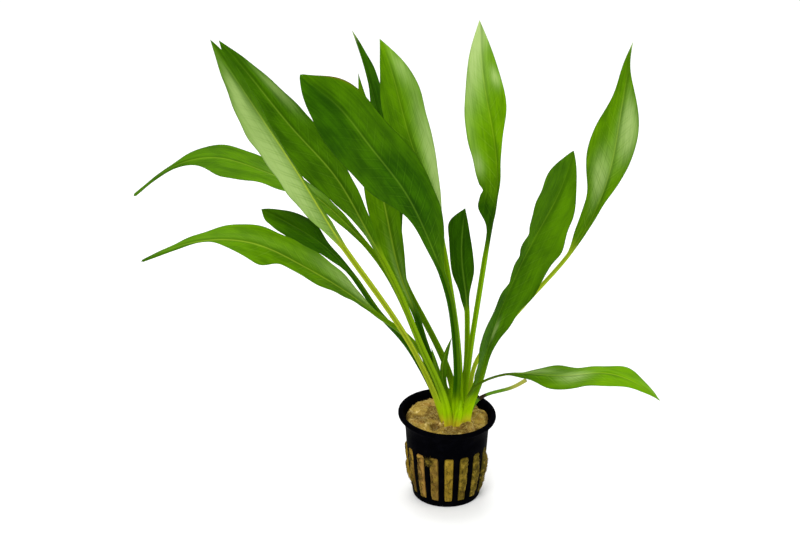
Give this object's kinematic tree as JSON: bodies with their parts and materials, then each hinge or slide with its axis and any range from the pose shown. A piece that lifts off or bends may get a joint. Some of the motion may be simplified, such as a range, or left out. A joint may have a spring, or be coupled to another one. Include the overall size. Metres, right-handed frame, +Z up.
{
  "type": "potted echinodorus",
  "caption": "Amazon sword plant: a rosette of long-stalked sword-shaped leaves growing from mineral wool in a small black net pot, standing on its base.",
  "frame": {"origin": "centre of the net pot's underside, on the surface that it stands on", "axes": "+Z up, -Y towards the plant's front, +X to the right seen from the front"},
  "size_m": [0.287, 0.1575, 0.289],
  "materials": {
    "black_plastic": "satin moulded polypropylene",
    "mineral_wool": "matted mineral fibres",
    "crown_yellow": "smooth plant tissue",
    "leaf_dark": "waxy leaf",
    "leaf_bright": "waxy leaf",
    "young_green": "smooth plant tissue"
  },
  "bodies": {
    "root": {"net_pot": "black_plastic", "mineral_wool": "mineral_wool", "rootstock": "crown_yellow", "leaf_far_left": "leaf_dark", "leaf_left_behind": "leaf_dark", "leaf_front_dark": "leaf_dark", "leaf_back_narrow": "leaf_dark", "leaf_small_upright": "leaf_dark", "leaf_right_wavy": "leaf_dark", "leaf_left_short": "leaf_dark", "leaf_left_pale": "leaf_bright", "leaf_back_bright": "leaf_bright", "leaf_middle_back": "leaf_bright", "leaf_tall": "leaf_bright", "leaf_far_right": "leaf_bright", "leaf_right_low": "leaf_bright", "leaf_left_low": "leaf_bright", "young_leaf": "young_green", "young_shoot": "young_green", "base_sheath": "young_green", "old_stalk": "young_green"}
  },
  "joints": []
}
